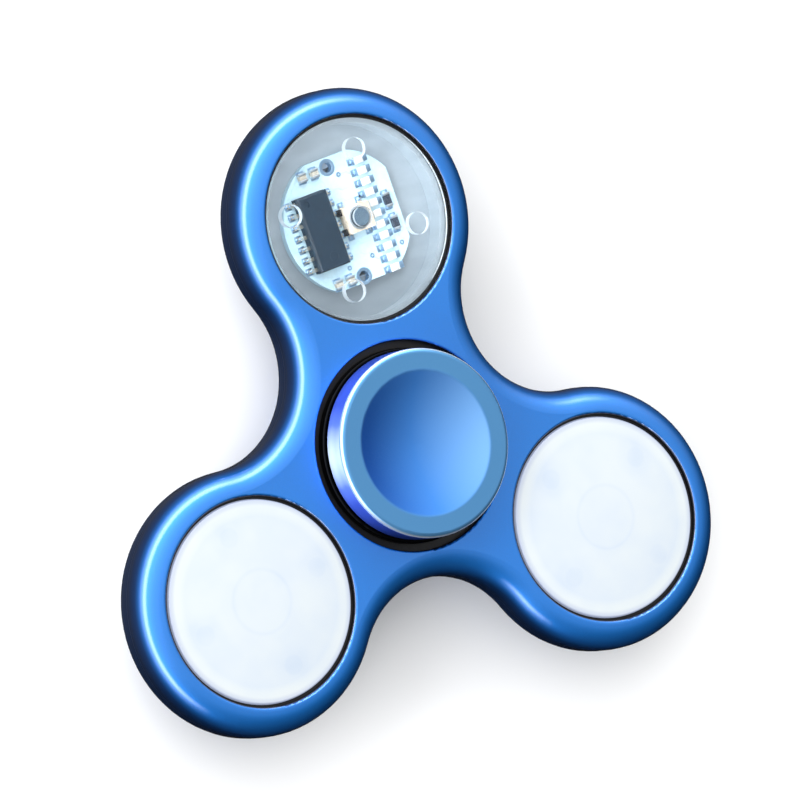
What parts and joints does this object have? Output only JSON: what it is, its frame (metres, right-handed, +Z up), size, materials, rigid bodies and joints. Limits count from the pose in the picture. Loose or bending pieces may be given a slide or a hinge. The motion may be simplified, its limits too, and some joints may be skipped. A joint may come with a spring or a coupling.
{
  "type": "light up spinning top",
  "caption": "Flat hand spinner with round lobes about a ball bearing hub, dished finger caps, and a pressable lens over a lit circuit board in each lobe.",
  "frame": {"origin": "centre of the lower finger cap's rim, the plane the top stands on", "axes": "+Z up along the spin axis, +Y out through the middle of lobe 1 (the clear lens), +X to the side of lobe 3"},
  "size_m": [0.075, 0.069, 0.0145],
  "materials": {
    "body_blue": "metallic blue gloss",
    "cap_blue": "metallic blue satin gloss",
    "sleeve_black": "satin",
    "ring_steel_black": "black oxide",
    "race_steel": "ground",
    "seal_rubber": "matt",
    "cage_nylon": "natural",
    "ball_steel": "polished",
    "lens_clear": "clear polished",
    "lens_lit": "milk white, lit from inside",
    "guide_black": "satin",
    "cup_grey": "satin",
    "cover_black": "fine texture",
    "board_white": "white solder mask",
    "chip_black": "moulded epoxy",
    "lead_tin": "tinned",
    "led_white": "clear and white",
    "resistor_ceramic": "glazed",
    "capacitor_ceramic": "fired",
    "switch_tan": "satin",
    "plunger_black": "satin",
    "cell_steel": "nickel plated",
    "clip_spring_steel": "nickel plated"
  },
  "bodies": {
    "finger_axle": {"upper_finger_cap": "cap_blue", "lower_finger_cap": "cap_blue", "bearing_inner_ring": "race_steel"},
    "rotor": {"spinner_body": "body_blue", "bearing_sleeve": "sleeve_black", "bearing_outer_ring": "ring_steel_black", "front_bearing_seal": "seal_rubber", "rear_bearing_seal": "seal_rubber", "guide_ring_1": "guide_black", "pod_cup_1": "cup_grey", "rear_cover_1": "cover_black", "circuit_board_1": "board_white", "control_chip_1": "chip_black", "chip_leads_1": "lead_tin", "led_row_1": "led_white", "resistors_1": "resistor_ceramic", "capacitors_1": "capacitor_ceramic", "switch_base_1": "switch_tan", "coin_cell_1": "cell_steel", "battery_clip_1": "clip_spring_steel", "guide_ring_2": "guide_black", "pod_cup_2": "cup_grey", "rear_cover_2": "cover_black", "circuit_board_2": "board_white", "control_chip_2": "chip_black", "chip_leads_2": "lead_tin", "led_row_2": "led_white", "resistors_2": "resistor_ceramic", "capacitors_2": "capacitor_ceramic", "switch_base_2": "switch_tan", "coin_cell_2": "cell_steel", "battery_clip_2": "clip_spring_steel", "guide_ring_3": "guide_black", "pod_cup_3": "cup_grey", "rear_cover_3": "cover_black", "circuit_board_3": "board_white", "control_chip_3": "chip_black", "chip_leads_3": "lead_tin", "led_row_3": "led_white", "resistors_3": "resistor_ceramic", "capacitors_3": "capacitor_ceramic", "switch_base_3": "switch_tan", "coin_cell_3": "cell_steel", "battery_clip_3": "clip_spring_steel"},
    "ball_cage": {"bearing_cage": "cage_nylon"},
    "ball_1": {"ball_1": "ball_steel"},
    "ball_2": {"ball_2": "ball_steel"},
    "ball_3": {"ball_3": "ball_steel"},
    "ball_4": {"ball_4": "ball_steel"},
    "ball_5": {"ball_5": "ball_steel"},
    "ball_6": {"ball_6": "ball_steel"},
    "ball_7": {"ball_7": "ball_steel"},
    "lens_1": {"lens_1": "lens_clear"},
    "switch_plunger_1": {"switch_plunger_1": "plunger_black"},
    "lens_2": {"lens_2": "lens_lit"},
    "switch_plunger_2": {"switch_plunger_2": "plunger_black"},
    "lens_3": {"lens_3": "lens_lit"},
    "switch_plunger_3": {"switch_plunger_3": "plunger_black"}
  },
  "joints": [
    {"name": "spin", "type": "hinge", "parent": "finger_axle", "child": "rotor", "pos_m": [0, 0, 0.00725], "axis": [0, 0, 1], "continuous": true},
    {"name": "cage_orbit", "type": "hinge", "parent": "finger_axle", "child": "ball_cage", "pos_m": [0, 0, 0.00725], "axis": [0, 0, 1], "continuous": true},
    {"name": "ball_1_roll", "type": "hinge", "parent": "ball_cage", "child": "ball_1", "pos_m": [0, 0.0075, 0.00725], "axis": [0, 0, 1], "continuous": true},
    {"name": "ball_2_roll", "type": "hinge", "parent": "ball_cage", "child": "ball_2", "pos_m": [-0.00586, 0.00468, 0.00725], "axis": [0, 0, 1], "continuous": true},
    {"name": "ball_3_roll", "type": "hinge", "parent": "ball_cage", "child": "ball_3", "pos_m": [-0.00731, -0.00167, 0.00725], "axis": [0, 0, 1], "continuous": true},
    {"name": "ball_4_roll", "type": "hinge", "parent": "ball_cage", "child": "ball_4", "pos_m": [-0.00325, -0.00676, 0.00725], "axis": [0, 0, 1], "continuous": true},
    {"name": "ball_5_roll", "type": "hinge", "parent": "ball_cage", "child": "ball_5", "pos_m": [0.00325, -0.00676, 0.00725], "axis": [0, 0, 1], "continuous": true},
    {"name": "ball_6_roll", "type": "hinge", "parent": "ball_cage", "child": "ball_6", "pos_m": [0.00731, -0.00167, 0.00725], "axis": [0, 0, 1], "continuous": true},
    {"name": "ball_7_roll", "type": "hinge", "parent": "ball_cage", "child": "ball_7", "pos_m": [0.00586, 0.00468, 0.00725], "axis": [0, 0, 1], "continuous": true},
    {"name": "lens_1_press", "type": "slide", "parent": "rotor", "child": "lens_1", "axis": [0, 0, -1], "range_m": [0, 0.0003], "stiffness_N_per_m": 400, "springref_m": -0.0005},
    {"name": "switch_1_press", "type": "slide", "parent": "rotor", "child": "switch_plunger_1", "axis": [0, 0, -1], "range_m": [0, 0.0003]},
    {"name": "lens_2_press", "type": "slide", "parent": "rotor", "child": "lens_2", "axis": [0, 0, -1], "range_m": [0, 0.0003], "stiffness_N_per_m": 400, "springref_m": -0.0005},
    {"name": "switch_2_press", "type": "slide", "parent": "rotor", "child": "switch_plunger_2", "axis": [0, 0, -1], "range_m": [0, 0.0003]},
    {"name": "lens_3_press", "type": "slide", "parent": "rotor", "child": "lens_3", "axis": [0, 0, -1], "range_m": [0, 0.0003], "stiffness_N_per_m": 400, "springref_m": -0.0005},
    {"name": "switch_3_press", "type": "slide", "parent": "rotor", "child": "switch_plunger_3", "axis": [0, 0, -1], "range_m": [0, 0.0003]}
  ],
  "couplings": [
    {"joint": "cage_orbit", "follows": "spin", "ratio": 0.6323},
    {"joint": "ball_1_roll", "follows": "spin", "ratio": 1.7568},
    {"joint": "ball_2_roll", "follows": "spin", "ratio": 1.7568},
    {"joint": "ball_3_roll", "follows": "spin", "ratio": 1.7568},
    {"joint": "ball_4_roll", "follows": "spin", "ratio": 1.7568},
    {"joint": "ball_5_roll", "follows": "spin", "ratio": 1.7568},
    {"joint": "ball_6_roll", "follows": "spin", "ratio": 1.7568},
    {"joint": "ball_7_roll", "follows": "spin", "ratio": 1.7568},
    {"joint": "switch_1_press", "follows": "lens_1_press", "ratio": 1},
    {"joint": "switch_2_press", "follows": "lens_2_press", "ratio": 1},
    {"joint": "switch_3_press", "follows": "lens_3_press", "ratio": 1}
  ]
}
